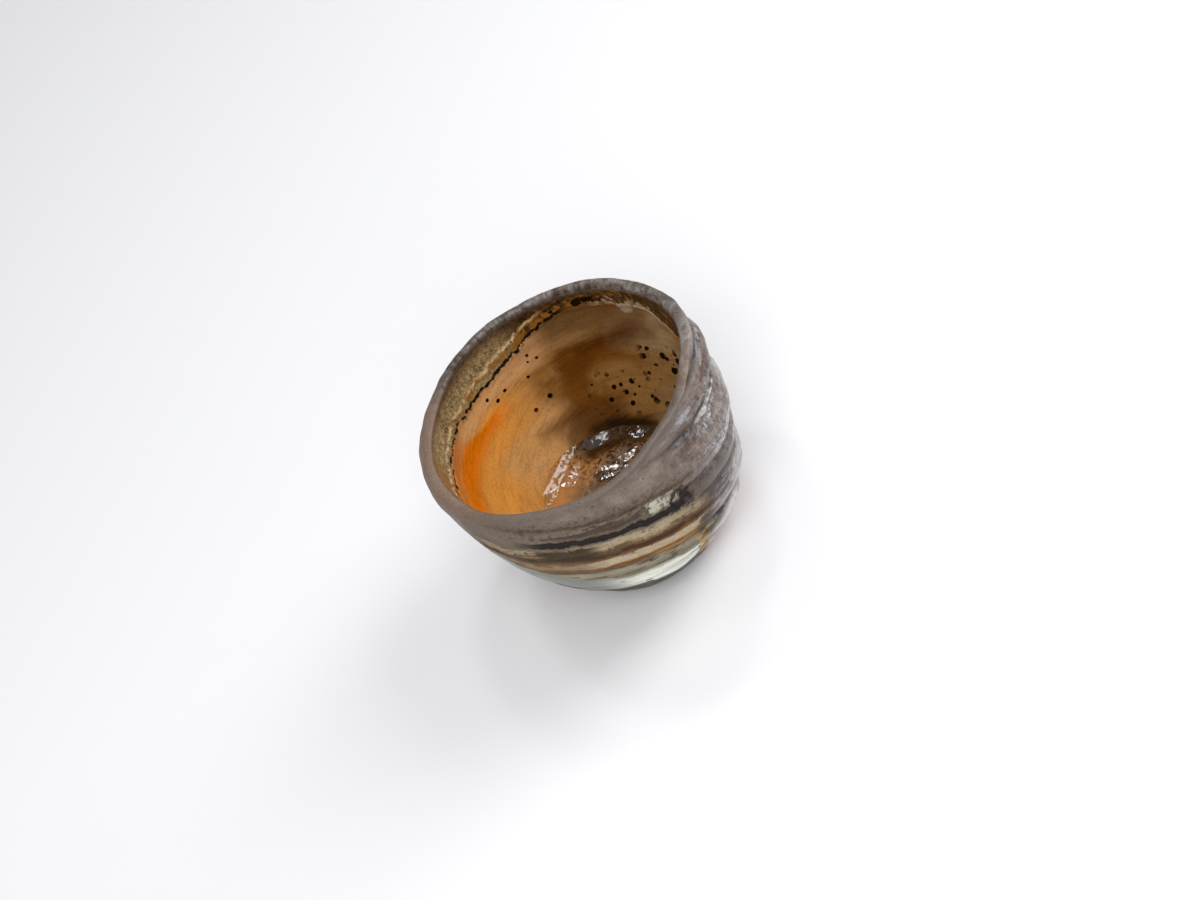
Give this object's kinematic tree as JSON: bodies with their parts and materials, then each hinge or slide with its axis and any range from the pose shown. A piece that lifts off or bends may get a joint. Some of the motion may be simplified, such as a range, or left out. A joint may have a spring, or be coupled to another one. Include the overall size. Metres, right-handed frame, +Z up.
{
  "type": "tea cup",
  "caption": "Hand-thrown stoneware tea cup without a handle: ridged round wall, wavy rounded lip, glazed well and a turned foot ring.",
  "frame": {"origin": "on the table under the middle of the cup's width and depth", "axes": "+Z up out of the mouth, -Y towards the side with the pale glaze"},
  "size_m": [0.0873, 0.0905, 0.0644],
  "materials": {
    "stoneware": "flashed and ash-marked, satin",
    "bare_clay": "bare orange-flashed clay, matte",
    "amber_glaze": "gloss, orange to brown with iron spots",
    "ash_crust": "grainy olive ash, satin",
    "pooled_glass": "thick glassy brown, high gloss",
    "pale_glaze": "pale grey-green, soft gloss"
  },
  "bodies": {
    "root": {"cup_body": "stoneware", "foot_ring": "bare_clay", "liner_glaze": "amber_glaze", "rim_ash_band": "ash_crust", "glaze_pool": "pooled_glass", "skirt_glaze": "pale_glaze"}
  },
  "joints": []
}
